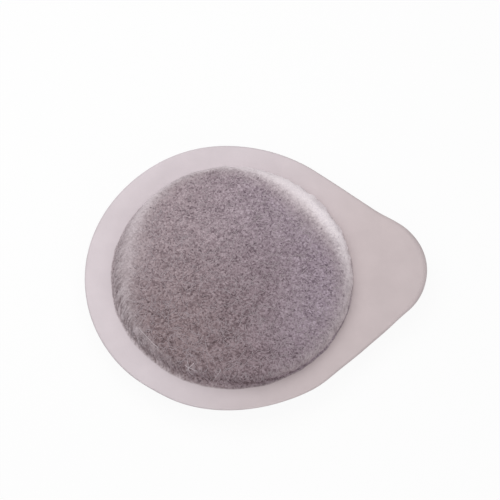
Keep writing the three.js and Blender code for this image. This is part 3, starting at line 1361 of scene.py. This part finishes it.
coffee_radius = (coffee_high.x - coffee_low.x) / 2 - CORE_INSET
coffee_half_height = (coffee_high.z - coffee_low.z) / 2 - CORE_INSET
coffee_area = 2 * math.pi * coffee_radius * (coffee_radius + 2 * coffee_half_height)
coffee_values = {
    "Radius": coffee_radius,
    "Half Height": coffee_half_height,
    "Middle": (coffee_high.z + coffee_low.z) / 2,
    "Grain Radius": GRAIN_RADIUS,
    "Grain Density": GRAIN_COUNT / coffee_area,
    "Seed": GRAIN_SEED,
    "Material": ground_coffee,
}
pressed_grounds = run_shape_tree("pressed_grounds", coffee_tree(), coffee_values)
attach(pressed_grounds, "root")
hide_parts("coffee_puck")
print(pressed_grounds.name, "has", triangles(pressed_grounds), "triangles")

# %% [markdown]
# ## Thickness
# The papers are still single faces. A Solidify modifier gives them the thickness of filter paper,
# inwards from the face that was pressed, so the outside keeps its place. It comes after the fibres,
# which would otherwise be scattered over the inside as well.

# %% Thickness
def thicken(paper):
    """Gives a pressed paper its thickness, inwards from its outer face."""
    solidify = paper.modifiers.new("thickness", "SOLIDIFY")
    solidify.thickness = PAPER_THICKNESS - SEAL_GAP
    solidify.offset = -1
    to_plain_mesh(paper)


for paper, node_name in ((upper_paper, "upper_filter_paper"), (lower_paper, "lower_filter_paper")):
    thicken(paper)
    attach(paper, "root")
    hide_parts(node_name)
    print(paper.name, "has", triangles(paper), "triangles")

# %% [markdown]
# ## Floor and light
# The photograph has a plain white ground and soft light from the back left, which fades towards the
# front right. A key lamp close above the back left of the pod gives both the direction and the
# fading, a wider fill lamp at the front lights the wall that faces the camera, and an even sky fills
# the shadows. The floor glows white to the camera and is a plain pale diffuse to the light, so it keeps
# a faint shadow without any more light on the pod.

# %% Floor
FLOOR_SIZE = 3.0
FLOOR_COLOUR = (0.85, 0.85, 0.85, 1)
FLOOR_GLOW_SHARE = 0.93
FLOOR_HEIGHT = -0.01 * MM


def white_ground():
    material = bpy.data.materials.new("white_ground")
    material.use_nodes = True
    tree = material.node_tree
    tree.nodes.remove(tree.nodes["Principled BSDF"])
    diffuse = add_node(tree, "ShaderNodeBsdfDiffuse", {"Color": FLOOR_COLOUR})
    glow = add_node(tree, "ShaderNodeEmission", {"Color": WHITE, "Strength": 1.0})
    path = tree.nodes.new("ShaderNodeLightPath")
    seen = Number(tree, path.outputs["Is Camera Ray"])
    seen = calc("MAXIMUM", seen, Number(tree, path.outputs["Is Glossy Ray"]))
    seen = calc("MAXIMUM", seen, Number(tree, path.outputs["Is Transmission Ray"]))
    inputs = {0: seen * FLOOR_GLOW_SHARE, 1: diffuse.outputs[0], 2: glow.outputs[0]}
    both = add_node(tree, "ShaderNodeMixShader", inputs)
    plug(tree, tree.nodes["Material Output"].inputs["Surface"], both.outputs[0])
    return material


floor_mesh = bpy.data.meshes.new("floor")
half = FLOOR_SIZE / 2
corners = [(-half, -half), (half, -half), (half, half), (-half, half)]
floor_mesh.from_pydata([(x, y, FLOOR_HEIGHT) for x, y in corners], [], [(0, 1, 2, 3)])
floor_mesh.materials.append(white_ground())
floor = bpy.data.objects.new("floor", floor_mesh)
scene.collection.objects.link(floor)
print("floor:", FLOOR_SIZE, "m square")

# %% Light
SKY_LEVEL = 0.46
KEY_PLACE = (-0.040, 0.046, 0.125)
KEY_TARGET = (-0.040, 0.046, 0)
KEY_SIZE = 0.16
KEY_POWER = 0.125
FILL_PLACE = (0.14, -0.31, 0.15)
FILL_TARGET = (0, 0, 0)
FILL_SIZE = 0.30
FILL_POWER = 0.34


def area_light(name, place, aimed_at, light_size, power):
    """A square lamp that the camera doesn't see."""
    data = bpy.data.lights.new(name, "AREA")
    data.shape = "SQUARE"
    data.size = light_size
    data.energy = power
    lamp = bpy.data.objects.new(name, data)
    lamp.location = place
    lamp.rotation_euler = (Vector(aimed_at) - Vector(place)).to_track_quat("-Z", "Y").to_euler()
    lamp.visible_camera = False
    scene.collection.objects.link(lamp)


area_light("key", KEY_PLACE, KEY_TARGET, KEY_SIZE, KEY_POWER)
area_light("fill", FILL_PLACE, FILL_TARGET, FILL_SIZE, FILL_POWER)

sky = bpy.data.worlds.new("sky")
sky.use_nodes = True
sky_tree = sky.node_tree
sky_light = sky_tree.nodes["Background"]
sky_path = sky_tree.nodes.new("ShaderNodeLightPath")
seen_by_camera = Number(sky_tree, sky_path.outputs["Is Camera Ray"])
plug(sky_tree, sky_light.inputs["Strength"], mix(SKY_LEVEL, 1.0, seen_by_camera))
sky_light.inputs["Color"].default_value = WHITE
scene.world = sky
scene.view_settings.view_transform = "Standard"
print("sky level", SKY_LEVEL)
